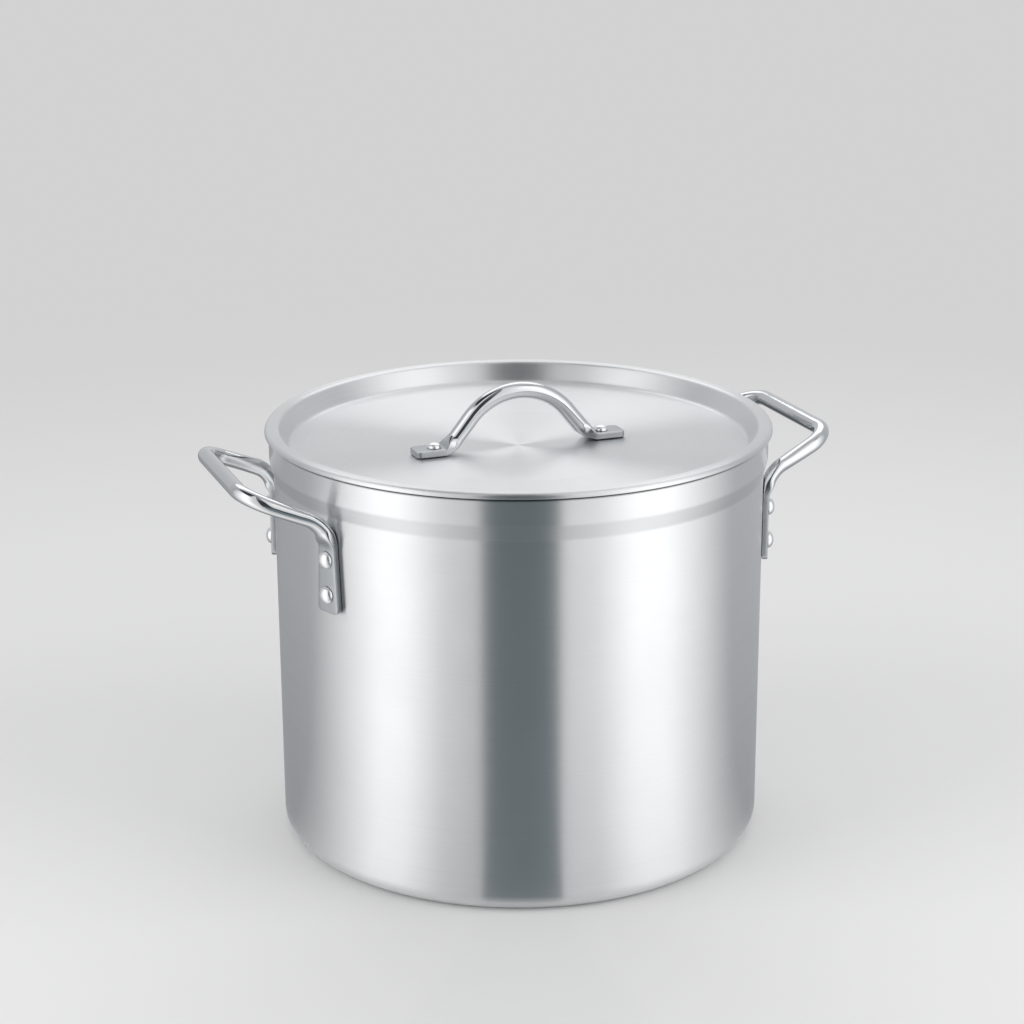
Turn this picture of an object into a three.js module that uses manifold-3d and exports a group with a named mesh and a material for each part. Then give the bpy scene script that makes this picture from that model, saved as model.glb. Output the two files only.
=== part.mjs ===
// A round aluminium stock pot of about 43 litres, used as a brew kettle: a spun body with a thick rim,
// two bent rod handles riveted to its wall, and a recessed lid that lifts off by a handle of its own.
// Millimetres. +Z is up, the origin is the middle of the face it stands on, the side handles lie along X.
import * as THREE from "three";
import { mergeVertices } from "three/addons/utils/BufferGeometryUtils.js";
import Module from "manifold-3d";

const wasm = await Module();
wasm.setup();

// Kettle body, one spun piece.
const boreRadius = 200;
const wallThickness = 3.5;
const baseThickness = 5;
const bodyHeight = 345.4;
const baseCornerRadius = 14; // outside, from base to wall
const bandThickness = 6.8; // the wall where it is left thick below the rim
const bandHeight = 21.8;
const bevelHeight = 12.7; // the slope from the band down to the plain wall
const rimOuterRadius = 2.6;
const rimInnerRadius = 1.4;

// Lid, one pressed sheet with a thicker lip.
const lidSheet = 2.5;
const lipThickness = 4.6;
const lipOverhang = 3.2; // past the rim band
const lipEdgeRadius = 2.2;
const lidBoreClearance = 0.7; // between the recess wall and the bore
const recessDepth = 16.7; // from the lip's top to the edge of the panel
const recessLean = THREE.MathUtils.degToRad(27); // recess wall off the vertical
const recessTopRadius = 3.6;
const recessFootRadius = 4;
const dishDepth = 5.3; // the panel's middle below its edge
const dishFlatRadius = 104;

// Side handles, each one round rod with its ends forged flat and bent down the wall.
const rodDiameter = 13;
const footWidth = 24.5; // at the tip
const neckWidth = 19; // where the foot thickens into the leg
const footThickness = 5;
const footCornerRadius = 4.5;
const footLength = 71; // from the tip up to where the centrelines of foot and leg meet
const footSpread = THREE.MathUtils.degToRad(46); // between the two feet, about the kettle's axis
const footBendRadius = 24;
const footTopDrop = 41.4; // from the rim down to where the centrelines of foot and leg meet
const gripReach = 49.7; // from the wall to the grip's centreline
const gripDrop = 14; // from the rim down to the grip's centreline
const gripLength = 141; // between the corners of the grip's centreline
const gripBendRadius = 25;
const legThickness = 11.3; // of the oval leg, where it meets the foot
const shoulderLead = 3; // before the bend, where the foot starts to thicken
const shoulderLength = 17; // over which it does so

// Lid handle, a round rod bent to an arch with its ends forged flat.
const lidRodDiameter = 14;
const tabWidth = 22;
const tabThickness = 5.5;
const tabCornerRadius = 5;
const tabLength = 30.5; // from the foot of the arch to the tab's end
const archSpan = 124; // between the feet of the arch
const archRise = 44.3; // centreline, above the tabs'
const archSlope = THREE.MathUtils.degToRad(51);
const tabBendRadius = 12.5;
const tabShoulderLead = 1;
const tabShoulderLength = 18;

// Rivets. The first pair of sizes is for the side handles, the second for the lid handle.
const shankDiameter = 6.4;
const headDiameter = 14.5;
const headHeight = 4.6;
const innerHeadDiameter = 14;
const innerHeadHeight = 2;
const rivetSpacing = 29;
const rivetFromTip = 14.8; // lower rivet to the foot's tip
const lidShankDiameter = 5;
const lidHeadDiameter = 12;
const lidHeadHeight = 3.8;
const lidInnerHeadDiameter = 11;
const lidInnerHeadHeight = 1.8;
const rivetFromBend = 12; // lid rivet to the foot of the arch

// Fits.
const seatGap = 0.3; // between pieces that bear on each other
const holeClearance = 0.3; // between a shank and its hole, on the radius
const overrun = 5; // by which a drill passes both faces

// Facets.
const turns = 80; // sides of the body and the lid
const rivetTurns = 12;
const cornerFacet = THREE.MathUtils.degToRad(31); // a rounded corner turns by this much a facet, or less
const bendFacet = THREE.MathUtils.degToRad(14);
const domeSteps = 3;
const archSteps = 8; // of half the arch
const sectionSides = 16;
const shoulderSteps = 4;
const tipSteps = 3;
const closeShare = 0.001; // of a line: points that are closer than this count as one
const flatExponent = 6; // how square the forged section's edges are; 2 is a circle or an ellipse

const wallRadius = boreRadius + wallThickness;
const bandRadius = boreRadius + bandThickness;
const footTopHeight = bodyHeight - footTopDrop;

const spunAluminium = new THREE.MeshStandardMaterial({ color: 0xb4b7bb, metalness: 1, roughness: 0.36 });
const pressedAluminium = new THREE.MeshStandardMaterial({ color: 0xcfd1d4, metalness: 1, roughness: 0.42 });
const polishedSteel = new THREE.MeshStandardMaterial({ color: 0xc3c6c9, metalness: 1, roughness: 0.16 });
const rivetAluminium = new THREE.MeshStandardMaterial({ color: 0xdadcde, metalness: 1, roughness: 0.3 });

// A closed three.js geometry as a solid: equal points are joined and collapsed triangles dropped.
function toSolid(geometry) {
  const bare = geometry.clone();
  bare.deleteAttribute("normal");
  bare.deleteAttribute("uv");
  const merged = mergeVertices(bare);
  const kept = [];
  for (let i = 0; i < merged.index.count; i += 3) {
    const [a, b, c] = [0, 1, 2].map((k) => merged.index.getX(i + k));
    if (a !== b && b !== c && c !== a) kept.push(a, b, c);
  }
  const vertProperties = merged.getAttribute("position").array;
  return new wasm.Manifold(new wasm.Mesh({ numProp: 3, vertProperties, triVerts: new Uint32Array(kept) }));
}

function toGeometry(solid) {
  const mesh = solid.getMesh();
  const geometry = new THREE.BufferGeometry();
  geometry.setAttribute("position", new THREE.BufferAttribute(mesh.vertProperties, 3));
  geometry.setIndex(new THREE.BufferAttribute(mesh.triVerts, 1));
  geometry.computeVertexNormals();
  return geometry;
}

function drilled(geometry, drills) {
  return toGeometry(drills.reduce((solid, drill) => solid.subtract(toSolid(drill)), toSolid(geometry)));
}

// A line of straight runs with a round bend at each inner corner that has a bend radius.
// A bend too large for its runs takes what room they leave it.
function bentLine(corners, facetAngle) {
  const line = [corners[0].at];
  corners.slice(1, -1).forEach(({ at, bend }, i) => {
    if (!bend) return line.push(at);
    const before = corners[i].at.clone().sub(at);
    const after = corners[i + 2].at.clone().sub(at);
    const half = before.angleTo(after) / 2;
    const room = Math.min(before.length(), after.length()) / 2;
    const run = Math.min(bend / Math.tan(half), room);
    const start = at.clone().addScaledVector(before.normalize(), run);
    const end = at.clone().addScaledVector(after.normalize(), run);
    const middle = before.add(after).normalize().multiplyScalar(run / Math.cos(half)).add(at);
    const spoke = start.clone().sub(middle);
    const axis = spoke.clone().cross(end.clone().sub(middle)).normalize();
    const turn = Math.PI - 2 * half;
    const steps = Math.ceil(turn / facetAngle);
    for (let k = 0; k <= steps; k++) {
      line.push(middle.clone().add(spoke.clone().applyAxisAngle(axis, (turn * k) / steps)));
    }
  });
  line.push(corners.at(-1).at);
  return line;
}

// Turns an outline of [radius, height, rounding] corners about the Y axis, which is its height.
function spun(outline, sides) {
  const corners = outline.map(([r, z, bend]) => ({ at: new THREE.Vector3(r, z, 0), bend }));
  const profile = bentLine(corners, cornerFacet).map((p) => new THREE.Vector2(p.x, p.y));
  return new THREE.LatheGeometry(profile, sides);
}

// The distance along a line to each of its points.
function lengthsAlong(line) {
  const lengths = [0];
  line.slice(1).forEach((point, i) => lengths.push(lengths[i] + point.distanceTo(line[i])));
  return lengths;
}

// The points of a centreline, with its direction and its distance from the start at each point.
// Extra points are put in at the given distances.
function stationsOf(line, extraDistances) {
  const lengths = lengthsAlong(line);
  const closest = lengths.at(-1) * closeShare;
  const apart = (d) => lengths.every((known) => Math.abs(known - d) > closest);
  const distances = [...lengths, ...extraDistances.filter(apart)].sort((a, b) => a - b);
  const points = distances.map((d) => {
    const i = Math.min(lengths.findLastIndex((known) => known <= d), line.length - 2);
    return line[i].clone().lerp(line[i + 1], (d - lengths[i]) / (lengths[i + 1] - lengths[i]));
  });
  return points.map((at, i) => {
    const into = at.clone().sub(points[Math.max(i - 1, 0)]).normalize();
    const onward = points[Math.min(i + 1, points.length - 1)].clone().sub(at).normalize();
    return { at, along: into.add(onward).normalize(), distance: distances[i] };
  });
}

// Skins a list of rings, each with as many points, and closes both ends.
function loft(rings) {
  const sides = rings[0].length;
  const index = [];
  for (let ring = 0; ring < rings.length - 1; ring++) {
    for (let side = 0; side < sides; side++) {
      const a = ring * sides + side;
      const b = ring * sides + ((side + 1) % sides);
      index.push(a, b, a + sides, b, b + sides, a + sides);
    }
  }
  const last = (rings.length - 1) * sides;
  for (let side = 1; side < sides - 1; side++) {
    index.push(0, side + 1, side, last, last + side, last + side + 1);
  }
  const geometry = new THREE.BufferGeometry().setFromPoints(rings.flat());
  geometry.setIndex(index);
  geometry.computeVertexNormals();
  return geometry;
}

// A round rod with both ends forged flat, mirrored about its middle: the stations run from one tip to
// the middle, mirror turns a point to the other half, and middleAlong is the direction at the middle.
// sectionAt gives the section at a distance from the tip: its width, its thickness, how square it is
// from 0 for round to 1 for flat, and how far it is set out from the centreline. The flat face looks
// along tipFace at the tip and is carried along the bends, and it is turned to middleFace by turnAt.
function forgedRod(stations, options) {
  const { corner, curveRadius, sectionAt, turnAt, tipFace, middleFace, middleAlong, mirror } = options;
  stations.at(-1).along.copy(middleAlong);
  const carried = tipFace.clone();
  const rings = stations.map(({ at, along, distance }, i) => {
    const bend = new THREE.Quaternion().setFromUnitVectors(stations[Math.max(i - 1, 0)].along, along);
    carried.applyQuaternion(bend);
    const face = carried.clone().lerp(middleFace, turnAt(distance));
    face.addScaledVector(along, -face.dot(along)).normalize();
    const across = face.clone().cross(along);
    const { width, thickness, square, setOut } = sectionAt(distance);
    const tipInset = corner - Math.sqrt(corner ** 2 - Math.max(corner - distance, 0) ** 2);
    const halfWidth = width / 2 - tipInset;
    const power = 2 / THREE.MathUtils.lerp(2, flatExponent, square);
    return Array.from({ length: sectionSides }, (_, k) => {
      const angle = (2 * Math.PI * k) / sectionSides;
      const [x, y] = [Math.cos(angle), Math.sin(angle)].map((c) => Math.sign(c) * Math.abs(c) ** power);
      const sag = (square * (halfWidth * x) ** 2) / curveRadius / 2;
      const point = at.clone().addScaledVector(across, halfWidth * x);
      return point.addScaledVector(face, (thickness / 2) * y + setOut - sag);
    });
  });
  const otherHalf = rings.slice(0, -1).reverse().map((ring) => ring.map((p) => p.clone().multiply(mirror)));
  return loft([...rings, ...otherHalf]);
}

// From 1 where the foot ends down to 0 where the rod is round.
function shoulderShare(distance, from, length) {
  return 1 - THREE.MathUtils.smoothstep(distance, from, from + length);
}

function tipDistances(corner) {
  return Array.from({ length: tipSteps }, (_, k) => {
    const angle = (Math.PI / 2) * ((k + 1) / tipSteps);
    return corner * (1 - Math.cos(angle));
  });
}

function shoulderDistances(from, length) {
  return Array.from({ length: shoulderSteps + 1 }, (_, k) => from + (length * k) / shoulderSteps);
}

function kettleBodyGeometry(drills) {
  const innerCorner = baseCornerRadius - wallThickness;
  const bandFoot = bodyHeight - bandHeight;
  const outline = [
    [0, 0],
    [wallRadius, 0, baseCornerRadius],
    [wallRadius, bandFoot - bevelHeight],
    [bandRadius, bandFoot],
    [bandRadius, bodyHeight, rimOuterRadius],
    [boreRadius, bodyHeight, rimInnerRadius],
    [boreRadius, baseThickness, innerCorner],
    [0, baseThickness],
  ];
  return drilled(spun(outline, turns).rotateX(Math.PI / 2), drills);
}

// Heights and radii of the lid that its handle and rivets share.
const lidTop = bodyHeight + seatGap + lipThickness;
const panelTop = lidTop - recessDepth - dishDepth;

function lidGeometry(drills) {
  const lean = Math.tan(recessLean);
  const lipUnderside = lidTop - lipThickness;
  const wallOutside = boreRadius - lidBoreClearance;
  const sheetAcross = lidSheet / Math.cos(recessLean);
  const recessTop = wallOutside + lipThickness * lean - sheetAcross;
  const panelEdge = recessTop - recessDepth * lean;
  const panelEdgeHeight = lidTop - recessDepth;
  const undersideEdgeHeight = panelEdgeHeight - lidSheet;
  const undersideEdge = wallOutside - (lipUnderside - undersideEdgeHeight) * lean;
  const outline = [
    [0, panelTop - lidSheet],
    [dishFlatRadius, panelTop - lidSheet],
    [undersideEdge, undersideEdgeHeight, recessFootRadius + lidSheet],
    [wallOutside, lipUnderside],
    [bandRadius + lipOverhang, lipUnderside, lipEdgeRadius],
    [bandRadius + lipOverhang, lidTop, lipEdgeRadius],
    [recessTop, lidTop, recessTopRadius],
    [panelEdge, panelEdgeHeight, recessFootRadius],
    [dishFlatRadius, panelTop],
    [0, panelTop],
  ];
  return drilled(spun(outline, turns).rotateX(Math.PI / 2), drills);
}

// A rivet along Y, with the face that its outer head bears on at the origin.
function rivetGeometry({ shank, head, height, innerHead, innerHeight, grip }) {
  const dome = Array.from({ length: domeSteps + 1 }, (_, k) => {
    const rise = ((Math.PI / 2) * k) / domeSteps;
    return k === domeSteps ? [0, height] : [(head / 2) * Math.cos(rise), height * Math.sin(rise)];
  });
  const outline = [
    [0, -grip - innerHeight],
    [innerHead / 2, -grip - innerHeight, innerHeight],
    [innerHead / 2, -grip],
    [shank / 2, -grip],
    [shank / 2, 0],
    ...dome,
  ];
  return spun(outline, rivetTurns);
}

function drillGeometry(shank, length) {
  const radius = shank / 2 + holeClearance;
  return new THREE.CylinderGeometry(radius, radius, length, rivetTurns);
}

// Where the side handles' rivets go: the azimuth and height of each, for both handles.
const rivetPlaces = [
  ["right", 0],
  ["left", Math.PI],
].flatMap(([side, handleAzimuth]) =>
  ["front", "rear"].flatMap((end) =>
    ["lower", "upper"].map((level) => {
      const turn = (end === "front") === (side === "right") ? -footSpread / 2 : footSpread / 2;
      return {
        name: `rivet_${side}_${end}_${level}`,
        side,
        azimuth: handleAzimuth + turn,
        height: footTopHeight - footLength + rivetFromTip + (level === "upper" ? rivetSpacing : 0),
      };
    }),
  ),
);

// Radii from the kettle's axis at which a foot and its rivets bear.
const footCentreRadius = wallRadius + seatGap + footThickness / 2;
const outerHeadSeat = wallRadius + seatGap + footThickness + seatGap;
const facetShrink = Math.cos(Math.PI / turns);
const innerHeadSeat = Math.sqrt(boreRadius ** 2 - (innerHeadDiameter / 2) ** 2) * facetShrink - seatGap;

// Stands a piece that is built along Y on the wall, looking outwards, at a radius, azimuth and height.
function onWall(object, { azimuth, height }, radius) {
  object.rotation.set(0, 0, azimuth - Math.PI / 2);
  object.position.set(radius * Math.cos(azimuth), radius * Math.sin(azimuth), height);
  object.updateMatrix();
  return object;
}

function wallDrill(place) {
  const reach = outerHeadSeat - innerHeadSeat + 2 * overrun;
  const drill = new THREE.Mesh(drillGeometry(shankDiameter, reach));
  onWall(drill, place, (outerHeadSeat + innerHeadSeat) / 2);
  return drill.geometry.applyMatrix4(drill.matrix);
}

// The handle at +X, in place. The other one is the same piece turned half round.
function sideHandleGeometry() {
  const half = footSpread / 2;
  const footFace = new THREE.Vector3(Math.cos(half), -Math.sin(half), 0);
  const foot = footFace.clone().multiplyScalar(footCentreRadius);
  const gripHeight = bodyHeight - gripDrop;
  const corners = [
    { at: foot.clone().setZ(footTopHeight - footLength) },
    { at: foot.clone().setZ(footTopHeight), bend: footBendRadius },
    { at: new THREE.Vector3(wallRadius + gripReach, -gripLength / 2, gripHeight), bend: gripBendRadius },
    { at: new THREE.Vector3(wallRadius + gripReach, 0, gripHeight) },
  ];
  const line = bentLine(corners, bendFacet);
  const lengths = lengthsAlong(line);
  const shoulder = lengths[1] - shoulderLead;
  const legStart = shoulder + shoulderLength;
  const legEnd = lengths.at(-1) - gripLength / 2;
  const leg = corners[2].at.clone().sub(corners[1].at);
  const middleAlong = new THREE.Vector3(0, 1, 0);
  const stations = stationsOf(line, [
    ...tipDistances(footCornerRadius),
    ...shoulderDistances(shoulder, shoulderLength),
    (legStart + legEnd) / 2,
  ]);
  const geometry = forgedRod(stations, {
    corner: footCornerRadius,
    curveRadius: footCentreRadius,
    sectionAt: (distance) => {
      const flat = shoulderShare(distance, shoulder, shoulderLength);
      const spread = shoulderShare(distance, shoulder, legEnd - shoulder);
      const taper = Math.min(distance / shoulder, 1);
      const footOrNeck = THREE.MathUtils.lerp(footWidth, neckWidth, taper);
      const rodOrLeg = THREE.MathUtils.lerp(rodDiameter, legThickness, spread);
      const thickness = THREE.MathUtils.lerp(rodOrLeg, footThickness, flat);
      return {
        width: THREE.MathUtils.lerp(rodDiameter, footOrNeck, spread),
        thickness,
        square: flat,
        setOut: (flat * (thickness - footThickness)) / 2,
      };
    },
    turnAt: (distance) => THREE.MathUtils.smoothstep(distance, legStart, legEnd),
    tipFace: footFace,
    middleFace: middleAlong.clone().cross(leg).normalize(),
    middleAlong,
    mirror: new THREE.Vector3(1, -1, 1),
  });
  return drilled(geometry, rivetPlaces.filter((place) => place.side === "right").map(wallDrill));
}

const tabHeight = panelTop + seatGap + tabThickness / 2;
const archFoot = archSpan / 2;

function lidHandleGeometry(drills) {
  const acrossSlope = archFoot * Math.sin(archSlope) - archRise * Math.cos(archSlope);
  const radius = acrossSlope / (1 - Math.cos(archSlope));
  const arch = Array.from({ length: archSteps + 1 }, (_, k) => {
    const angle = archSlope * (1 - k / archSteps);
    const fall = radius * (1 - Math.cos(angle));
    return { at: new THREE.Vector3(-radius * Math.sin(angle), 0, tabHeight + archRise - fall) };
  });
  const corners = [
    { at: new THREE.Vector3(-archFoot - tabLength, 0, tabHeight) },
    { at: new THREE.Vector3(-archFoot, 0, tabHeight), bend: tabBendRadius },
    ...arch,
  ];
  const line = bentLine(corners, bendFacet);
  const shoulder = lengthsAlong(line)[1] - tabShoulderLead;
  const stations = stationsOf(line, [
    ...tipDistances(tabCornerRadius),
    ...shoulderDistances(shoulder, tabShoulderLength),
  ]);
  const up = new THREE.Vector3(0, 0, 1);
  const geometry = forgedRod(stations, {
    corner: tabCornerRadius,
    curveRadius: Infinity,
    sectionAt: (distance) => {
      const flat = shoulderShare(distance, shoulder, tabShoulderLength);
      const thickness = THREE.MathUtils.lerp(lidRodDiameter, tabThickness, flat);
      return {
        width: THREE.MathUtils.lerp(lidRodDiameter, tabWidth, flat),
        thickness,
        square: flat,
        setOut: (flat * (thickness - tabThickness)) / 2,
      };
    },
    turnAt: () => 0,
    tipFace: up,
    middleFace: up,
    middleAlong: new THREE.Vector3(1, 0, 0),
    mirror: new THREE.Vector3(-1, 1, 1),
  });
  return drilled(geometry, drills);
}

const lidRivetPlaces = [
  ["right", 1],
  ["left", -1],
].map(([side, sign]) => ({ name: `lid_rivet_${side}`, x: sign * (archFoot + rivetFromBend) }));
const lidHeadSeat = panelTop + seatGap + tabThickness + seatGap;
const lidInnerHeadSeat = panelTop - lidSheet - seatGap;

function lidDrill({ x }) {
  const reach = lidHeadSeat - lidInnerHeadSeat + 2 * overrun;
  const middle = (lidHeadSeat + lidInnerHeadSeat) / 2;
  return drillGeometry(lidShankDiameter, reach).rotateX(Math.PI / 2).translate(x, 0, middle);
}

function piece(name, geometry, material) {
  const mesh = new THREE.Mesh(geometry, material);
  mesh.name = name;
  return mesh;
}

const kettle = new THREE.Group();
kettle.add(piece("kettle_body", kettleBodyGeometry(rivetPlaces.map(wallDrill)), spunAluminium));

for (const [side, turn] of [["right", 0], ["left", Math.PI]]) {
  const handle = piece(`side_handle_${side}`, sideHandleGeometry(), polishedSteel);
  handle.rotation.z = turn;
  kettle.add(handle);
}

const sideRivet = {
  shank: shankDiameter,
  head: headDiameter,
  height: headHeight,
  innerHead: innerHeadDiameter,
  innerHeight: innerHeadHeight,
  grip: outerHeadSeat - innerHeadSeat,
};
for (const place of rivetPlaces) {
  kettle.add(onWall(piece(place.name, rivetGeometry(sideRivet), rivetAluminium), place, outerHeadSeat));
}

const lid = new THREE.Group();
lid.add(piece("lid", lidGeometry(lidRivetPlaces.map(lidDrill)), pressedAluminium));
lid.add(piece("lid_handle", lidHandleGeometry(lidRivetPlaces.map(lidDrill)), polishedSteel));

const lidRivet = {
  shank: lidShankDiameter,
  head: lidHeadDiameter,
  height: lidHeadHeight,
  innerHead: lidInnerHeadDiameter,
  innerHeight: lidInnerHeadHeight,
  grip: lidHeadSeat - lidInnerHeadSeat,
};
for (const { name, x } of lidRivetPlaces) {
  const rivet = piece(name, rivetGeometry(lidRivet), rivetAluminium);
  rivet.rotation.x = Math.PI / 2;
  rivet.position.set(x, 0, lidHeadSeat);
  lid.add(rivet);
}

const potWithLid = new THREE.Group();
potWithLid.add(kettle, lid);

export default potWithLid;
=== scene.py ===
# %% [markdown]
# # A brew kettle in spun aluminium
# A brew kettle is a large stock pot in which wort is boiled. This one is a spun body with a thick rim,
# two rod handles riveted to its wall, and a recessed lid with a handle of its own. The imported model
# gives every piece its place. Its solids are faceted, so each one is made again here with fine, smooth
# surfaces, in the same place and at the same size. Everything is bare metal, so most of the work is in
# round forms, small edge radii, and reflections that a turned surface pulls into streaks.

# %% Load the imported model
import math

import bmesh
import bpy
from mathutils import Matrix, Vector


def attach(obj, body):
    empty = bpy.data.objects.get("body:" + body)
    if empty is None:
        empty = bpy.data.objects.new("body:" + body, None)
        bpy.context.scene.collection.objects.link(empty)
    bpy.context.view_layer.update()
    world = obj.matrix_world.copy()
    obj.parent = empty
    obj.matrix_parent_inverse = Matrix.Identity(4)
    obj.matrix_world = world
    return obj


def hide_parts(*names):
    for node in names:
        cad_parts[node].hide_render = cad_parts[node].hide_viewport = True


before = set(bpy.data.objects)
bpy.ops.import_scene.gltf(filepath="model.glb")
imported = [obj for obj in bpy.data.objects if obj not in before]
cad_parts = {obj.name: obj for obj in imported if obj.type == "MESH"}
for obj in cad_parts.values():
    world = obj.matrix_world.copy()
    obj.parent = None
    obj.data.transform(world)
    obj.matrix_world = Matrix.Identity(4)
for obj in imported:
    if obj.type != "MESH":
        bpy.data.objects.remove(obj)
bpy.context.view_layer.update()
print("nodes:", sorted(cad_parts))

# %% [markdown]
# Sizes of metalware are given in millimetres, and Blender works in metres, so one factor turns the
# first into the second. Sizes that several pieces need are named here, and the others with their piece.
# Pieces that bear on each other stay a small seat gap apart, so that no two faces share a place.

# %% Shared sizes
MM = 0.001
Z_AXIS = Vector((0, 0, 1))
SEAT_GAP = 0.3

BORE_RADIUS = 200
WALL = 3.5
WALL_RADIUS = BORE_RADIUS + WALL
BAND_THICKNESS = 6.8
BAND_RADIUS = BORE_RADIUS + BAND_THICKNESS
RIM_TOP = 345.4
LIP_THICKNESS = 4.6
LIP_UNDERSIDE = RIM_TOP + SEAT_GAP
LID_TOP = LIP_UNDERSIDE + LIP_THICKNESS
print("wall radius", WALL_RADIUS, "rim", RIM_TOP, "lid top", LID_TOP)


# %% [markdown]
# Spinning presses a flat disc over a turning form, so the body and the lid are true bodies of
# revolution, and so are the rivets. The natural way in Blender is the same: draw the cross-section as
# a line of a few vertices, round its corners with the bevel operator, and spin the line about the axis.
# A rounding of radius r on a corner whose half angle is a starts r / tan(a) before the corner, which is
# the offset that bevel wants.

# %% A line with rounded corners
def rounded_line(bm, corners, segments):
    """Joins the corners, each (point in mm, radius), and rounds those that have a radius."""
    line = [bm.verts.new(Vector(point) * MM) for point, radius in corners]
    for start, end in zip(line, line[1:]):
        bm.edges.new((start, end))
    for vert, (point, radius) in zip(line, corners):
        if radius:
            arms = [edge.other_vert(vert).co - vert.co for edge in vert.link_edges]
            offset = radius * MM / math.tan(arms[0].angle(arms[1]) / 2)
            bmesh.ops.bevel(
                bm, geom=[vert], offset=offset, offset_type="OFFSET", affect="VERTICES",
                segments=segments, profile=0.5, material=-1,
            )
    return line[0]


def draw_section(bm, section):
    """Draws half a cross-section, each corner (x, z, radius), from the axis round to the axis."""
    rounded_line(bm, [((x, 0, z), radius) for x, z, radius in section], segments=6)


# %% [markdown]
# Long straight runs of a section get a loop close to each end. Without it, the smooth shading of a
# small rounding would creep over the whole wall. The spin ends where it began, and a line that starts
# on the axis makes many vertices in one place there, so doubles are merged before the normals are set.

# %% A spun piece
LONG_RUN = 8
LOOP_MARGIN = 0.8
DOUBLES_DISTANCE = 0.002


def hold_long_runs(bm):
    """Splits each long edge close to both of its ends."""
    for edge in [e for e in bm.edges if e.calc_length() > LONG_RUN * MM]:
        for vert in list(edge.verts):
            made, _ = bmesh.utils.edge_split(edge, vert, LOOP_MARGIN * MM / edge.calc_length())
            edge = max(edge, made, key=lambda e: e.calc_length())


def spin_line(bm, steps):
    """Turns all that is drawn once round the axis."""
    bmesh.ops.spin(
        bm, geom=bm.verts[:] + bm.edges[:], cent=(0, 0, 0), axis=Z_AXIS, dvec=(0, 0, 0),
        angle=math.tau, steps=steps, use_merge=True, use_duplicate=False,
    )


def finish_mesh(bm, name):
    """Closes the seam and the poles, turns the faces outwards and makes the object."""
    bmesh.ops.remove_doubles(bm, verts=bm.verts[:], dist=DOUBLES_DISTANCE * MM)
    bmesh.ops.recalc_face_normals(bm, faces=bm.faces[:])
    mesh = bpy.data.meshes.new(name)
    bm.to_mesh(mesh)
    bm.free()
    mesh.shade_smooth()
    piece = bpy.data.objects.new(name, mesh)
    bpy.context.scene.collection.objects.link(piece)
    return piece


def spun_piece(name, section):
    """A body of revolution about the kettle's axis."""
    bm = bmesh.new()
    draw_section(bm, section)
    hold_long_runs(bm)
    spin_line(bm, steps=256)
    return finish_mesh(bm, name)


def report(piece):
    """Prints a piece's number of faces and its box."""
    low, high = ([round(v / MM, 1) for v in piece.bound_box[corner]] for corner in (0, 6))
    print(f"{piece.name}: {len(piece.data.polygons)} faces, from {low} to {high} mm")


# %% [markdown]
# The body is one spun piece. Its bottom turns up into the wall in a generous radius, because a sharp
# corner would tear in spinning and would trap food. Just below the rim the metal is left almost twice
# as thick, which keeps the mouth round, and that band runs out to the plain wall in a soft slope.

# %% The kettle's body
BASE_THICKNESS = 5
BASE_CORNER = 14
BAND_HEIGHT = 21.8
SLOPE_HEIGHT = 12.7
BAND_FOOT = RIM_TOP - BAND_HEIGHT
SLOPE_FOOT = BAND_FOOT - SLOPE_HEIGHT
SLOPE_ROUNDING = 8
RIM_OUTER_ROUNDING = 2.6
RIM_INNER_ROUNDING = 1.4
kettle_body = spun_piece("kettle_body_spun", [
    (0, 0, 0),
    (WALL_RADIUS, 0, BASE_CORNER),
    (WALL_RADIUS, SLOPE_FOOT, SLOPE_ROUNDING),
    (BAND_RADIUS, BAND_FOOT, SLOPE_ROUNDING),
    (BAND_RADIUS, RIM_TOP, RIM_OUTER_ROUNDING),
    (BORE_RADIUS, RIM_TOP, RIM_INNER_ROUNDING),
    (BORE_RADIUS, BASE_THICKNESS, BASE_CORNER - WALL),
    (0, BASE_THICKNESS, 0),
])
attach(kettle_body, "kettle")
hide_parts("kettle_body")
report(kettle_body)

# %% [markdown]
# The lid is pressed from one sheet. A thick lip rests on the rim, a leaning wall drops into the mouth
# and centres the lid, and the panel then falls a little further to a flat middle, which stiffens it.
# The two sides of the wall are parallel, so the inner line is the outer line moved inwards by the
# sheet's thickness, and where the sheet bends, its outer radius is the inner one plus that thickness.

# %% The lid
LID_SHEET = 2.5
LEAN_ANGLE = math.radians(27)
LEAN = math.tan(LEAN_ANGLE)
RECESS_DEPTH = 16.7
DISH_DEPTH = 5.3
FLAT_RADIUS = 104
LIP_UNDER_ROUNDING = 0.8
LIP_EDGE_ROUNDING = 3.4
LIP_INNER_ROUNDING = 3.6
RECESS_ROUNDING = 4
DISH_ROUNDING = 80
LIP_OVERHANG = 3.2
PLUG_CLEARANCE = 0.7

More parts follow.
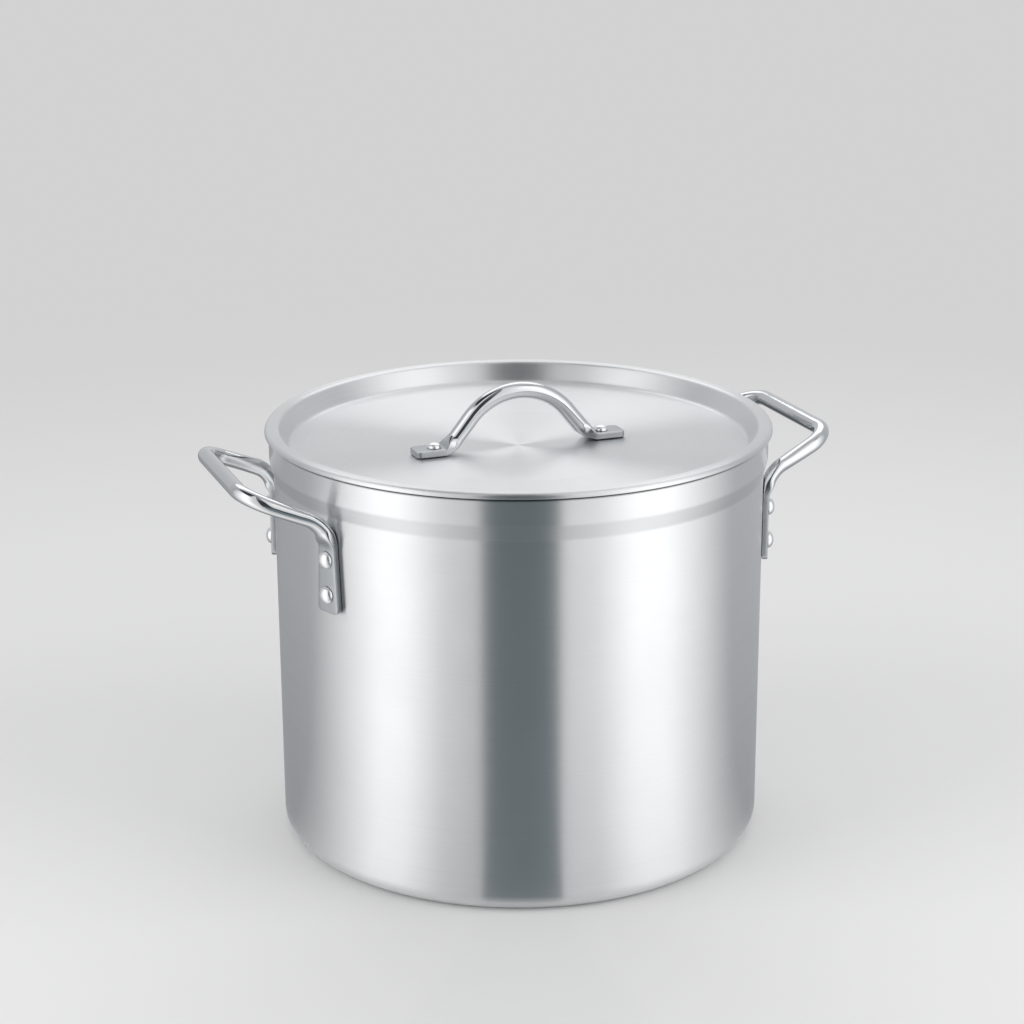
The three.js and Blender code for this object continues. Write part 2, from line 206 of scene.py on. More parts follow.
PANEL_EDGE = LID_TOP - RECESS_DEPTH
PANEL_TOP = PANEL_EDGE - DISH_DEPTH
LIP_OUTER = BAND_RADIUS + LIP_OVERHANG
PLUG_RADIUS = BORE_RADIUS - PLUG_CLEARANCE
PLUG_FOOT = PLUG_RADIUS - (LIP_UNDERSIDE - PANEL_EDGE + LID_SHEET) * LEAN
LIP_INNER = PLUG_RADIUS + LIP_THICKNESS * LEAN - LID_SHEET / math.cos(LEAN_ANGLE)
lid = spun_piece("lid_pressed", [
    (0, PANEL_TOP - LID_SHEET, 0),
    (FLAT_RADIUS, PANEL_TOP - LID_SHEET, DISH_ROUNDING),
    (PLUG_FOOT, PANEL_EDGE - LID_SHEET, RECESS_ROUNDING + LID_SHEET),
    (PLUG_RADIUS, LIP_UNDERSIDE, 0),
    (LIP_OUTER, LIP_UNDERSIDE, LIP_UNDER_ROUNDING),
    (LIP_OUTER, LID_TOP, LIP_EDGE_ROUNDING),
    (LIP_INNER, LID_TOP, LIP_INNER_ROUNDING),
    (LIP_INNER - RECESS_DEPTH * LEAN, PANEL_EDGE, RECESS_ROUNDING),
    (FLAT_RADIUS, PANEL_TOP, DISH_ROUNDING),
    (0, PANEL_TOP, 0),
])
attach(lid, "lid")
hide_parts("lid")
report(lid)


# %% [markdown]
# Each handle starts as a straight round rod. Its ends are forged flat and then the rod is bent, so
# the section changes along the way from a circle to a wide, thin strap. No bevelled curve does that,
# because its section keeps its shape. Here a centreline is made first. Then a ring of vertices is
# shaped at each of many stations along it, and neighbouring rings are bridged.

# %% A centreline with bends
def bent_line(corners):
    """The points, in metres, of a line through corners, each (point in mm, bend radius)."""
    bm = bmesh.new()
    vert = rounded_line(bm, corners, segments=24)
    points, edge = [vert.co.copy()], vert.link_edges[0]
    while edge:
        vert = edge.other_vert(vert)
        points.append(vert.co.copy())
        edge = next((e for e in vert.link_edges if e != edge), None)
    bm.free()
    return points


def point_on(points, distance):
    """The point at a distance in metres along the line, carried straight on past its ends."""
    for start, end in zip(points, points[1:]):
        run = (end - start).length
        if distance <= run or end is points[-1]:
            return start.lerp(end, distance / run)
        distance -= run


def line_length(points):
    return sum((end - start).length for start, end in zip(points, points[1:]))


# %% [markdown]
# A section has a width, a thickness, a share by which it is square, and a set-out. The metal swells on
# the outer face only, since the other face lies on the wall or the lid, and the set-out moves the
# section outwards for that. At the tip the width follows the rounded corners, and the thickness the
# rounded edge.

# %% The section of a forged end
EDGE_ROUNDING = 1.2


def mix(a, b, share):
    return a + (b - a) * share


def smooth_fall(distance, start, length):
    """1 before the start, 0 after the length, and a smooth fall between."""
    t = min(max((distance - start) / length, 0), 1)
    return 1 - t * t * (3 - 2 * t)


def forged_section(width, rod_thickness, flat_thickness, flat):
    """A section that is forged flat by a share from 0 to 1."""
    thickness = mix(rod_thickness, flat_thickness, flat)
    return {"width": width, "thickness": thickness, "square": flat,
            "set_out": flat * (thickness - flat_thickness) / 2}


def round_tip(section, distance, corner):
    """Draws a section in where it is close to the tip."""
    for side, rounding in (("width", corner), ("thickness", EDGE_ROUNDING)):
        short = max(rounding - distance, 0)
        section[side] -= 2 * (rounding - math.sqrt(rounding ** 2 - short ** 2))


# %% [markdown]
# A ring is a circle whose coordinates are raised to a power, which squares it up without a jump. On
# the body it also sags to the curve of the wall. The stations stand close at the tip and at the
# shoulder, where the section changes fast, and wider elsewhere.

# %% The rings and their stations
RING_SIDES = 48
FLAT_POWER = 9
EVEN_STATIONS = 90
SHOULDER_STATIONS = 24
CLOSEST_STATIONS = 0.08


def shape_ring(bm, at, across, face, section, curve_radius):
    """Adds a closed ring of the section that stands across the centreline."""
    ring = bmesh.ops.create_circle(bm, cap_ends=False, segments=RING_SIDES, radius=1)["verts"]
    power = 2 / mix(2, FLAT_POWER, section["square"])
    for vert in ring:
        x, y = (math.copysign(abs(c) ** power, c) for c in vert.co.xy)
        wide = section["width"] / 2 * x
        sag = section["square"] * wide ** 2 / (2 * curve_radius)
        high = section["thickness"] / 2 * y + section["set_out"] - sag
        vert.co = at + across * wide * MM + face * high * MM
    return ring


def stations_along(length, corner, shoulder, shoulder_length):
    """Distances in mm from the tip to the middle of the rod."""
    places = [length * i / EVEN_STATIONS for i in range(1, EVEN_STATIONS + 1)]
    places += [shoulder + shoulder_length * i / SHOULDER_STATIONS for i in range(SHOULDER_STATIONS + 1)]
    for rounding, angles in ((EDGE_ROUNDING, range(0, 91, 15)), (corner, range(45, 91, 9))):
        places += [rounding * (1 - math.cos(math.radians(angle))) for angle in angles]
    stations = []
    for place in sorted(places):
        if not stations or place - stations[-1] > CLOSEST_STATIONS:
            stations.append(place)
    stations[-1] = length
    return stations


# %% [markdown]
# The strap's face is carried along the bends without a twist: at each station it turns just as much as
# the centreline does. Where the rod is round its turn doesn't show, so there it swings over to the
# direction that it needs in the middle. Only half of a rod is made, and the other half mirrored. Each
# vertex keeps how far its metal is forged, and the material reads that later.

# %% A rod that is forged flat at its end
DIRECTION_REACH = 1.2
MIRROR_MERGE = 0.01


def direction_at(points, distance):
    """The centreline's direction, taken over a short reach each way."""
    before, after = (
        point_on(points, (distance + reach) * MM) for reach in (-DIRECTION_REACH, DIRECTION_REACH)
    )
    return (after - before).normalized()


def forged_rod(name, points, stations, section_at, face_at_tip, middle, mirror_axis, corner,
               curve_radius=math.inf, turn_at=lambda distance: 0):
    """Sweeps the section from the flat tip to the middle of the rod, and mirrors it."""
    bm = bmesh.new()
    forged = bm.verts.layers.float.new("forged")
    middle_along, middle_face = middle
    carried, previous, last_edges = face_at_tip.copy(), None, None
    for distance in stations:
        along = middle_along if distance == stations[-1] else direction_at(points, distance)
        if previous:
            carried.rotate(previous.rotation_difference(along))
        previous = along
        face = carried.lerp(middle_face, turn_at(distance))
        face = (face - along * face.dot(along)).normalized()
        section = section_at(distance)
        round_tip(section, distance, corner)
        at = point_on(points, distance * MM)
        ring = shape_ring(bm, at, face.cross(along), face, section, curve_radius)
        for vert in ring:
            vert[forged] = section["square"]
        edges = list(dict.fromkeys(edge for vert in ring for edge in vert.link_edges))
        if last_edges:
            bmesh.ops.bridge_loops(bm, edges=last_edges + edges)
        else:
            bmesh.ops.contextual_create(bm, geom=edges)
        last_edges = edges
    bmesh.ops.mirror(
        bm, geom=bm.verts[:] + bm.edges[:] + bm.faces[:], matrix=Matrix.Identity(4),
        merge_dist=MIRROR_MERGE * MM, axis=mirror_axis,
    )
    return finish_mesh(bm, name)


# %% [markdown]
# A side handle stands out from the wall on two legs. Each foot lies on the wall, bent to its curve,
# and widens towards its tip. The metal thickens again just above the upper rivet, in a shoulder that
# starts a little before the bend. There the rod leaves the wall and rises at a slant, first oval, and
# it is fully round by the corner of the grip.

# %% The side handle's centreline
ROD = 13
FOOT_THICKNESS = 5
FOOT_CENTRE = WALL_RADIUS + SEAT_GAP + FOOT_THICKNESS / 2
FOOT_TOP = RIM_TOP - 41.4
FOOT_LENGTH = 71
FOOT_TIP = FOOT_TOP - FOOT_LENGTH
FOOT_BEND = 24
HALF_SPREAD = math.radians(23)
GRIP_REACH = 49.7
GRIP_X = WALL_RADIUS + GRIP_REACH
GRIP_Z = RIM_TOP - 14
GRIP_HALF = 70.5
GRIP_BEND = 25

foot_face = Vector((math.cos(HALF_SPREAD), -math.sin(HALF_SPREAD), 0))
foot_point = foot_face * FOOT_CENTRE
leg_foot = foot_point + Z_AXIS * FOOT_TOP
leg_top = Vector((GRIP_X, -GRIP_HALF, GRIP_Z))
side_points = bent_line([
    (foot_point + Z_AXIS * FOOT_TIP, 0),
    (leg_foot, FOOT_BEND),
    (leg_top, GRIP_BEND),
    (Vector((GRIP_X, 0, GRIP_Z)), 0),
])
side_length = line_length(side_points) / MM
print("half a side handle's centreline:", round(side_length, 1), "mm in", len(side_points), "points")

# %% The side handle's section
FOOT_TIP_WIDTH = 24.5
FOOT_NECK_WIDTH = 19
FOOT_CORNER = 4.5
LEG_THICKNESS = 11.3
SIDE_SHOULDER_LEAD = 3
SIDE_SHOULDER_LENGTH = 17
side_shoulder = (side_points[1] - side_points[0]).length / MM - SIDE_SHOULDER_LEAD
leg_start = side_shoulder + SIDE_SHOULDER_LENGTH
leg_end = side_length - GRIP_HALF
print("shoulder starts at", round(side_shoulder, 1), "mm, leg ends at", round(leg_end, 1), "mm")


def side_section(distance):
    flat = smooth_fall(distance, side_shoulder, SIDE_SHOULDER_LENGTH)
    spread = smooth_fall(distance, side_shoulder, leg_end - side_shoulder)
    strap = mix(FOOT_TIP_WIDTH, FOOT_NECK_WIDTH, min(distance / side_shoulder, 1))
    oval = mix(ROD, LEG_THICKNESS, spread)
    return forged_section(mix(ROD, strap, spread), oval, FOOT_THICKNESS, flat)


def side_turn(distance):
    return 1 - smooth_fall(distance, leg_start, leg_end - leg_start)


# %% The side handles
grip_along = Vector((0, 1, 0))
grip_face = grip_along.cross(leg_top - leg_foot).normalized()
side_stations = stations_along(side_length, FOOT_CORNER, side_shoulder, SIDE_SHOULDER_LENGTH)
handles = []
for side, turn in (("right", 0), ("left", math.pi)):
    handle = forged_rod(
        f"side_handle_{side}_forged", side_points, side_stations, side_section, foot_face,
        (grip_along, grip_face), "Y", FOOT_CORNER, curve_radius=FOOT_CENTRE, turn_at=side_turn,
    )
    handle.data.transform(Matrix.Rotation(turn, 4, "Z"))
    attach(handle, "kettle")
    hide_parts(f"side_handle_{side}")
    handles.append(handle)
    report(handle)

# %% [markdown]
# The lid's handle is a slightly thicker rod, bent to an arch that fingers fit under. Its flat ends lie
# on the lid's flat middle. From each a straight leg rises, and between the legs runs part of a circle,
# drawn in short chords. The circle has to touch both legs and to pass through the crown, and that
# settles its radius: the crown's distance from the leg's line is the radius times 1 - cos(slope).

# %% The arch's centreline
LID_ROD = 14
TAB_THICKNESS = 5.5
TAB_LENGTH = 30.5
TAB_BEND = 12.5
TAB_Z = PANEL_TOP + SEAT_GAP + TAB_THICKNESS / 2
ARCH_FOOT = 62
ARCH_RISE = 44.3
ARCH_SLOPE = math.radians(51)
ARCH_CHORDS = 40

crown_to_leg = ARCH_FOOT * math.sin(ARCH_SLOPE) - ARCH_RISE * math.cos(ARCH_SLOPE)
arch_radius = crown_to_leg / (1 - math.cos(ARCH_SLOPE))
arch_corners = []
for chord in range(ARCH_CHORDS + 1):
    angle = ARCH_SLOPE * (1 - chord / ARCH_CHORDS)
    height = TAB_Z + ARCH_RISE - arch_radius * (1 - math.cos(angle))
    arch_corners.append((Vector((-arch_radius * math.sin(angle), 0, height)), 0))
lid_points = bent_line([
    (Vector((-ARCH_FOOT - TAB_LENGTH, 0, TAB_Z)), 0),
    (Vector((-ARCH_FOOT, 0, TAB_Z)), TAB_BEND),
    *arch_corners,
])
lid_length = line_length(lid_points) / MM
print("radius of the arch:", round(arch_radius, 1), "mm, half its line:", round(lid_length, 1), "mm")

# %% The lid's handle
TAB_WIDTH = 22
TAB_CORNER = 5
LID_SHOULDER_LEAD = 1
LID_SHOULDER_LENGTH = 18
lid_shoulder = (lid_points[1] - lid_points[0]).length / MM - LID_SHOULDER_LEAD


def lid_section(distance):
    flat = smooth_fall(distance, lid_shoulder, LID_SHOULDER_LENGTH)
    return forged_section(mix(LID_ROD, TAB_WIDTH, flat), LID_ROD, TAB_THICKNESS, flat)


lid_handle = forged_rod(
    "lid_handle_forged", lid_points,
    stations_along(lid_length, TAB_CORNER, lid_shoulder, LID_SHOULDER_LENGTH),
    lid_section, Z_AXIS, (Vector((1, 0, 0)), Z_AXIS), "X", TAB_CORNER,
)
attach(lid_handle, "lid")
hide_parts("lid_handle")
report(lid_handle)


# %% [markdown]
# Solid rivets hold the handles. One end is domed, the shank fills the hole, and the other end is
# hammered to a low, broad head inside. A rivet is turned like the body, with fewer steps, and then
# laid along the line that it is driven on. Its dome is drawn as two corners with wide roundings, which
# are shares of the head's width and height, so that both sizes of rivet have the same form.

# %% A rivet
SIDE_RIVET = {"head": 14.5, "height": 4.6, "shank": 6.4, "inner_head": 14, "inner_height": 2}
LID_RIVET = {"head": 12, "height": 3.8, "shank": 5, "inner_head": 11, "inner_height": 1.8}


def rivet(name, node, place, grip, head, height, shank, inner_head, inner_height):
    """A rivet made along Z, with its outer head bearing at the origin, and moved to its place."""
    bm = bmesh.new()
    draw_section(bm, [
        (0, -grip - inner_height, 0),
        (inner_head / 2, -grip - inner_height, inner_height * 0.7),
        (inner_head / 2, -grip, 0),
        (shank / 2, -grip, 0),
        (shank / 2, 0, 0),
        (head / 2, 0, 0),
        (head * 0.46, height * 0.45, height * 0.9),
        (head * 0.24, height, height * 1.5),
        (0, height, 0),
    ])
    spin_line(bm, steps=48)
    bmesh.ops.transform(bm, matrix=place, verts=bm.verts[:])
    piece = finish_mesh(bm, name)
    piece.data.set_sharp_from_angle(angle=math.radians(50))
    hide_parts(node)
    return piece


# %% The side handles' rivets
RIVET_FROM_TIP = 14.8
RIVET_SPACING = 29
outer_seat = WALL_RADIUS + SEAT_GAP + FOOT_THICKNESS + SEAT_GAP
inner_seat = math.sqrt(BORE_RADIUS ** 2 - (SIDE_RIVET["inner_head"] / 2) ** 2) - SEAT_GAP
rivets = []
for side, about in (("right", 0), ("left", math.pi)):
    for end in ("front", "rear"):
        turn = -HALF_SPREAD if (end == "front") == (side == "right") else HALF_SPREAD
        outwards = Vector((math.cos(about + turn), math.sin(about + turn), 0))
        for level, height in (("lower", RIVET_FROM_TIP), ("upper", RIVET_FROM_TIP + RIVET_SPACING)):
            at = (outwards * outer_seat + Z_AXIS * (FOOT_TIP + height)) * MM
            place = Matrix.Translation(at) @ outwards.to_track_quat("Z", "Y").to_matrix().to_4x4()
            node = f"rivet_{side}_{end}_{level}"
            piece = rivet(f"{node}_head", node, place, outer_seat - inner_seat, **SIDE_RIVET)
            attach(piece, "kettle")
            rivets.append(piece)
print(len(rivets), "rivets through the wall, each holding", round(outer_seat - inner_seat, 2), "mm")

# %% The lid handle's rivets
LID_RIVET_FROM_BEND = 12
LID_RIVET_X = ARCH_FOOT + LID_RIVET_FROM_BEND
head_seat = PANEL_TOP + SEAT_GAP + TAB_THICKNESS + SEAT_GAP
lid_grip = head_seat - (PANEL_TOP - LID_SHEET - SEAT_GAP)
for side, sign in (("right", 1), ("left", -1)):
    place = Matrix.Translation(Vector((sign * LID_RIVET_X, 0, head_seat)) * MM)
    piece = rivet(f"lid_rivet_{side}_head", f"lid_rivet_{side}", place, lid_grip, **LID_RIVET)
    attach(piece, "lid")
    rivets.append(piece)
print(len(rivets), "rivets in all, of", len(rivets[0].data.polygons), "faces each")


# %% [markdown]
# ## Metals
# Bare metal takes its look from three things: the colour of its reflection, how rough it is, and in
# which direction the scratches run. Hex colours are as they look on a screen, and a shader wants
# linear numbers, so one function turns the first into the second.

# %% Colours and nodes
def linear(code):
    """An sRGB hex colour as the linear numbers that a shader takes."""
    parts = [int(code[i:i + 2], 16) / 255 for i in (1, 3, 5)]
    return [c / 12.92 if c <= 0.04045 else ((c + 0.055) / 1.055) ** 2.4 for c in parts] + [1]


def add_node(tree, kind, inputs, **settings):
    """Adds a node, sets it, and gives each named input a value or the socket that drives it."""
    made = tree.nodes.new("ShaderNode" + kind)
    for name, value in settings.items():
        setattr(made, name, value)
    for name, value in inputs.items():
        if isinstance(value, bpy.types.NodeSocket):
            tree.links.new(value, made.inputs[name])
        else:
            made.inputs[name].default_value = value
    return made


def new_material(name):
    material = bpy.data.materials.new(name)
    material.use_nodes = True
    tree = material.node_tree
    tree.nodes.clear()
    coords = add_node(tree, "TexCoord", {}).outputs["Object"]
    return material, tree, coords


# %% [markdown]
# Two patterns come back below. One is the distance from the kettle's axis. The other is a table of
# colours along a measure, such as a height or an angle, with even blends from row to row.

# %% Distance from the axis, and tones by a table
def away_from_axis(tree, coords):
    """The vector from the axis to a place, level with it, and its length."""
    level = add_node(tree, "VectorMath", {0: coords, 1: (1, 1, 0)}, operation="MULTIPLY").outputs[0]
    return level, add_node(tree, "VectorMath", {0: level}, operation="LENGTH").outputs["Value"]


def tones_by_table(tree, measure, table, unit):
    """The colour at a measure, from rows of (measure in units, sRGB hex colour)."""
    lowest, highest = table[0][0], table[-1][0]
    share = add_node(
        tree, "MapRange", {"Value": measure, "From Min": lowest * unit, "From Max": highest * unit},
    ).outputs["Result"]
    ramp = add_node(tree, "ValToRGB", {"Fac": share})
    stops = ramp.color_ramp.elements
    for place, code in table[1:-1]:
        stops.new((place - lowest) / (highest - lowest))
    for stop, (place, code) in zip(stops, table):
        stop.color = linear(code)
    return ramp.outputs["Color"]


# %% [markdown]
# Spinning and turning leave fine rings round the axis. A noise that is read by the distance from the
# axis and the height alone is a set of such rings. A little of the angle, mixed in very coarsely,
# lets them fade in and out, as real ones do. The true grooves are about 0.1 mm apart, which is
# finer than a pixel, so the noise is drawn with a ring each 1.2 mm or so.

# %% The rings of turned metal
RING_MM = 1.2
RING_DRIFT = 0.5
NOISE_LOW, NOISE_HIGH = 0.3, 0.7


def turned_rings(tree, coords):
    """A noise in rings round the axis, and the height above the ground."""
    height = add_node(tree, "SeparateXYZ", {"Vector": coords}).outputs["Z"]
    level, radius = away_from_axis(tree, coords)
    around = add_node(tree, "VectorMath", {0: level}, operation="NORMALIZE").outputs[0]
    around_x = add_node(tree, "SeparateXYZ", {"Vector": around}).outputs["X"]
    drift = add_node(
        tree, "Math", {0: around_x, 1: RING_DRIFT * RING_MM * MM}, operation="MULTIPLY",
    ).outputs[0]
    place = add_node(tree, "CombineXYZ", {"X": radius, "Y": height, "Z": drift}).outputs[0]
    rings = add_node(
        tree, "TexNoise",
        {"Vector": place, "Scale": 1 / (RING_MM * MM), "Detail": 3, "Roughness": 0.7},
    ).outputs["Fac"]
    return rings, height


# %% [markdown]
# The rest of the rings' effect is anisotropy: a highlight is stretched across the grooves, up and down
# the wall, and outwards on the lid. The tangent runs round the axis, as the grooves do. The shader
# stretches a highlight along the tangent, so a quarter turn sets the stretch across the grooves. A
# slow, faint mottle in colour and roughness keeps a wide wall from looking like one coat of paint.

# %% Turned aluminium
BRUSH_CONTRAST = 0.02
ROUGHNESS_SWING = 0.03
MOTTLE_ROUGHNESS = 0.05


def turned_aluminium(
    name, bright_code, dull_code, roughness, anisotropy, depth_mm, mottle_mm, tones=(),
):
    material, tree, coords = new_material(name)
    rings, height = turned_rings(tree, coords)
    mottle = add_node(
        tree, "TexNoise",
        {"Vector": coords, "Scale": 1 / (mottle_mm * MM), "Detail": 4, "Roughness": 0.6},
    ).outputs["Fac"]
    color = add_node(
        tree, "Mix", {"Factor": mottle, "A": linear(bright_code), "B": linear(dull_code)},
        data_type="RGBA",
    ).outputs["Result"]
    if tones:
        color = add_node(
            tree, "Mix", {"Factor": 1, "A": color, "B": tones_by_table(tree, height, tones, MM)},
            data_type="RGBA", blend_type="MULTIPLY",
        ).outputs["Result"]
    brushed, rough_rings = (
        add_node(
            tree, "MapRange",
            {"Value": rings, "From Min": NOISE_LOW, "From Max": NOISE_HIGH,
             "To Min": middle - swing, "To Max": middle + swing},
        ).outputs["Result"]
        for middle, swing in ((1, BRUSH_CONTRAST), (roughness, ROUGHNESS_SWING))
    )
    color = add_node(tree, "VectorMath", {0: color, "Scale": brushed}, operation="SCALE").outputs[0]
    rough = add_node(
        tree, "Math", {0: mottle, 1: MOTTLE_ROUGHNESS, 2: rough_rings}, operation="MULTIPLY_ADD",
    ).outputs[0]
    bump = add_node(
        tree, "Bump", {"Height": rings, "Distance": depth_mm * MM, "Strength": 1},
    ).outputs["Normal"]
    tangent = add_node(tree, "Tangent", {}, direction_type="RADIAL", axis="Z").outputs["Tangent"]
    shader = add_node(
        tree, "BsdfPrincipled",
        {"Base Color": color, "Metallic": 1, "Roughness": rough, "Anisotropic": anisotropy,
         "Anisotropic Rotation": 0.25, "Normal": bump, "Tangent": tangent},
    )
    add_node(tree, "OutputMaterial", {"Surface": shader.outputs[0]})
    return material


# %% [markdown]
# The body is commercially pure aluminium, spun and then brushed as it turns. To the eye it is a pale,
# cool grey with tall, soft streaks of light and hair-fine lines round it. A table by height paints
# shade into its colour. The top of the rim is painted dark for the shade under the lid's lip, and the
# slope below the band is painted a little darker for its dimmer reflection. The lid is the same metal,
# pressed and faced in a lathe. It is a touch greyer and softer, and its light fans out from the middle.

# %% Spun and pressed aluminium
spun_aluminium = turned_aluminium(
    "spun_aluminium", "#eeeff0", "#e8e9ea", roughness=0.3, anisotropy=1.0, depth_mm=0.004,
    mottle_mm=60, tones=[
        # Painted shade by height: the slope a little darker for its dimmer reflection, the rim's top
        # dark for the shade under the lid.
        (SLOPE_FOOT - 1, "#ffffff"), (SLOPE_FOOT + 1.5, "#f4f4f4"), (BAND_FOOT - 1.5, "#f4f4f4"),
        (BAND_FOOT + 1, "#ffffff"), (RIM_TOP - 2.6, "#ffffff"), (RIM_TOP - 1.2, "#585858"),
    ],
)
pressed_aluminium = turned_aluminium(
    "pressed_aluminium", "#ebeced", "#e4e5e6", roughness=0.34, anisotropy=0.9, depth_mm=0.003,
    mottle_mm=80,
)
kettle_body.data.materials.append(spun_aluminium)
lid.data.materials.append(pressed_aluminium)
print("turned metals:", spun_aluminium.name, pressed_aluminium.name)


# %% [markdown]
# The rods and the rivets are smooth and bright. A mirror that is too perfect looks false, so a soft
# haze varies the roughness, and a long, shallow waviness in the bump is what forging leaves.

# %% Bright metal
HAZE_MM = 9
HAZE_SWING = 0.15


def finish_bright(tree, coords, color, roughness, wave_mm, wave_depth_mm):
    """Closes a bright metal. Its colour and its roughness are each a value or a socket."""
    haze = add_node(
        tree, "TexNoise",
        {"Vector": coords, "Scale": 1 / (HAZE_MM * MM), "Detail": 3, "Roughness": 0.5},
    ).outputs["Fac"]
    waves = add_node(
        tree, "TexNoise", {"Vector": coords, "Scale": 1 / (wave_mm * MM), "Detail": 1},
    ).outputs["Fac"]
    spread = add_node(
        tree, "MapRange",
        {"Value": haze, "From Min": NOISE_LOW, "From Max": NOISE_HIGH,
         "To Min": 1 - HAZE_SWING, "To Max": 1 + HAZE_SWING},
    ).outputs["Result"]
    rough = add_node(tree, "Math", {0: roughness, 1: spread}, operation="MULTIPLY").outputs[0]
    bump = add_node(
        tree, "Bump", {"Height": waves, "Distance": wave_depth_mm * MM, "Strength": 1},
    ).outputs["Normal"]
    shader = add_node(
        tree, "BsdfPrincipled",
        {"Base Color": color, "Metallic": 1, "Roughness": rough, "Normal": bump},
    )
    add_node(tree, "OutputMaterial", {"Surface": shader.outputs[0]})


# %% [markdown]
# The handles are steel rod with bright plating. On the round rod it gives the eye a clear mirror, with
# thin dark and light lines along it. Where the metal was forged flat it was only tumbled before it
# was plated, so it is greyer and satin, and the share that each vertex keeps blends the two.

# %% Plated rod
polished_rod, tree, coords = new_material("polished_rod")
forged = add_node(tree, "Attribute", {}, attribute_name="forged").outputs["Fac"]
rod_color = add_node(
    tree, "Mix", {"Factor": forged, "A": linear("#dcdee0"), "B": linear("#b8bbbe")}, data_type="RGBA",
).outputs["Result"]
rod_roughness = add_node(
    tree, "MapRange", {"Value": forged, "To Min": 0.08, "To Max": 0.36},
).outputs["Result"]
finish_bright(tree, coords, rod_color, rod_roughness, wave_mm=12, wave_depth_mm=0.12)
for piece in (*handles, lid_handle):
    piece.data.materials.append(polished_rod)
print("plated pieces:", [piece.name for piece in (*handles, lid_handle)])

# %% [markdown]
# The rivets are soft aluminium as the heading tool left it. They are the whitest metal here, and each
# dome shows one soft spot of light.

# %% Rivet aluminium
rivet_aluminium, tree, coords = new_material("rivet_aluminium")
finish_bright(tree, coords, linear("#f4f5f6"), 0.3, wave_mm=5, wave_depth_mm=0.1)
for piece in rivets:
    piece.data.materials.append(rivet_aluminium)
print(len(rivets), "rivets in", rivet_aluminium.name)

# %% [markdown]
# ## Studio
# A metal object shows what stands around it, so all of that is designed. The camera comes first,
# because lamps and cards are set out by their angle from its side of the kettle. Its place and its long
# lens were found by fitting the ellipses of the rim and of the bottom, and it is rolled by a trace.

# %% Camera
CAMERA_AT = Vector((-680.8, -1804.8, 881.4)) * MM
LOOKS_AT = Vector((-5.32, 1.99, 269.9)) * MM
ROLL = math.radians(-0.274)
CAMERA_AZIMUTH = math.radians(-20.5)
camera_data = bpy.data.cameras.new("camera")
camera_data.sensor_width = 36
camera_data.lens = 84.7
camera_data.clip_end = 50
camera = bpy.data.objects.new("camera", camera_data)
bpy.context.scene.collection.objects.link(camera)
bpy.context.scene.camera = camera
back = (CAMERA_AT - LOOKS_AT).normalized()
level_right = Z_AXIS.cross(back).normalized()
level_up = back.cross(level_right)
right = level_right * math.cos(ROLL) + level_up * math.sin(ROLL)
up = level_up * math.cos(ROLL) - level_right * math.sin(ROLL)
camera.matrix_world = Matrix.Translation(CAMERA_AT) @ Matrix((right, up, back)).transposed().to_4x4()
print("camera at", [round(v, 3) for v in CAMERA_AT])

# %% [markdown]
# The floor is plain and pale. Away from the kettle it is seen to fade into the colour of the backdrop,
# so that no horizon cuts across the picture. For the light of the lamps it is plain paint all over.

# %% Floor
BACKDROP = "#d2d2d2"
FADE_START, FADE_END = 0.6, 2.2
floor_mesh = bpy.data.meshes.new("floor")
bm = bmesh.new()
bmesh.ops.create_grid(bm, x_segments=1, y_segments=1, size=20)
bm.to_mesh(floor_mesh)
bm.free()
floor = bpy.data.objects.new("floor", floor_mesh)
bpy.context.scene.collection.objects.link(floor)

floor_paint, tree, coords = new_material("floor_paint")
paint = add_node(tree, "BsdfPrincipled", {"Base Color": linear("#e4e4e4"), "Roughness": 0.7}).outputs[0]
backdrop_glow = add_node(tree, "Emission", {"Color": linear(BACKDROP), "Strength": 1}).outputs[0]
away = add_node(tree, "VectorMath", {0: coords}, operation="LENGTH").outputs["Value"]
far = add_node(
    tree, "MapRange", {"Value": away, "From Min": FADE_START, "From Max": FADE_END},
    interpolation_type="SMOOTHSTEP",
).outputs["Result"]
rays = add_node(tree, "LightPath", {}).outputs
seen = add_node(
    tree, "Math", {0: rays["Is Camera Ray"], 1: rays["Is Glossy Ray"]}, operation="MAXIMUM",
).outputs[0]
faded = add_node(tree, "Math", {0: far, 1: seen}, operation="MULTIPLY").outputs[0]
surface = add_node(tree, "MixShader", {"Fac": faded, 1: paint, 2: backdrop_glow}).outputs[0]
add_node(tree, "OutputMaterial", {"Surface": surface})
floor_mesh.materials.append(floor_paint)
print("floor fades from", FADE_START, "to", FADE_END, "m")


# %% [markdown]
# Two wide, soft lamps stand left and right. They light the floor and give it the kettle's soft shadow,
# and the metal doesn't show them. A third hangs behind and above, and adds a sheen to what faces up.

# %% Lamps
LAMP_AIM = Vector((0, 0, 0.25))


def around_kettle(azimuth_degrees, distance, height):
    """A point at an angle from the camera's side of the kettle, positive to the camera's right."""
    angle = CAMERA_AZIMUTH + math.radians(azimuth_degrees)
    return Vector((math.sin(angle) * distance, -math.cos(angle) * distance, height))


def soft_lamp(name, azimuth_degrees, distance, height, size, watts, in_metal):
    """A rectangular lamp that looks at the kettle. The metal shows it or doesn't."""
    data = bpy.data.lights.new(name, "AREA")
    data.shape = "RECTANGLE"
    data.size, data.size_y = size
    data.energy = watts
    lamp = bpy.data.objects.new(name, data)
    bpy.context.scene.collection.objects.link(lamp)
    lamp.location = around_kettle(azimuth_degrees, distance, height)
    lamp.rotation_euler = (lamp.location - LAMP_AIM).to_track_quat("Z", "Y").to_euler()
    lamp.visible_glossy = in_metal
    print(f"{name}: {watts} W at {[round(v, 2) for v in lamp.location]}")


